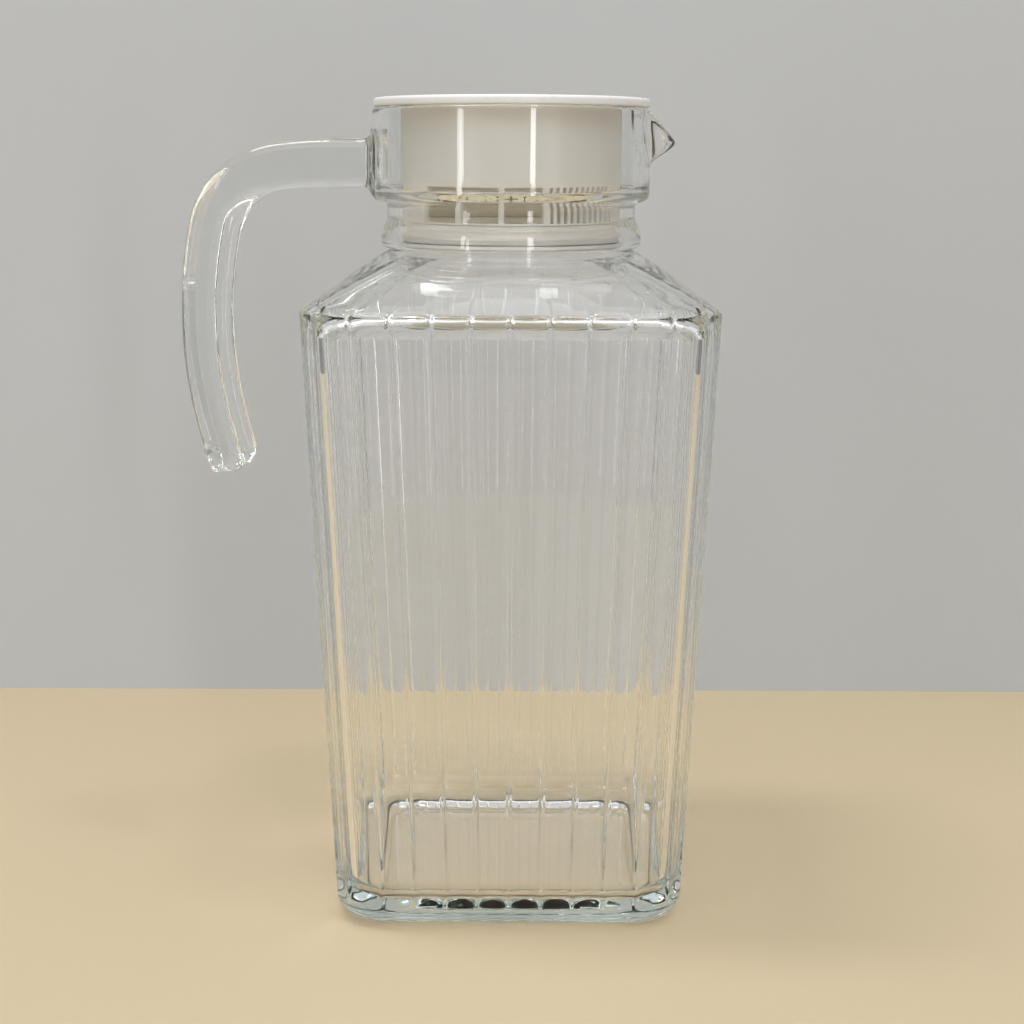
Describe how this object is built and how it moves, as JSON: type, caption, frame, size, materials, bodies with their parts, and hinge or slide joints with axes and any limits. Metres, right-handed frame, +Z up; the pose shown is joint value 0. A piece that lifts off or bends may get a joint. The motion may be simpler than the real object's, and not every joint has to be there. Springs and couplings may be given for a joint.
{
  "type": "lidded glass water jug",
  "caption": "Square fluted clear glass fridge jug with a pouring lip, an open hook handle and a turning white strainer lid.",
  "frame": {"origin": "centre of the flat base, on the upright axis of the jug", "axes": "+Z up along the neck axis, +X towards the pouring lip, the handle is at -X, -Y is the front"},
  "size_m": [0.1612, 0.1202, 0.245],
  "materials": {
    "clear_glass": "clear fire-polished glass with a faint grey-green cast",
    "handle_glass": "clear solid pressed glass",
    "seal_rubber": "soft translucent white, matte",
    "lid_white": "satin white moulded plastic",
    "plug_white": "matte creamy white moulded plastic"
  },
  "bodies": {
    "jug": {"glass_body": "clear_glass", "glass_handle": "handle_glass"},
    "seal": {"lid_seal": "seal_rubber"},
    "lid": {"lid_cover": "lid_white", "lid_plug": "plug_white"}
  },
  "joints": [
    {"name": "lid_lift", "type": "slide", "parent": "jug", "child": "seal", "axis": [0, 0, 1], "range_m": [0, 0.07]},
    {"name": "lid_turn", "type": "hinge", "parent": "seal", "child": "lid", "pos_m": [0, 0, 0.22], "axis": [0, 0, 1], "continuous": true}
  ]
}
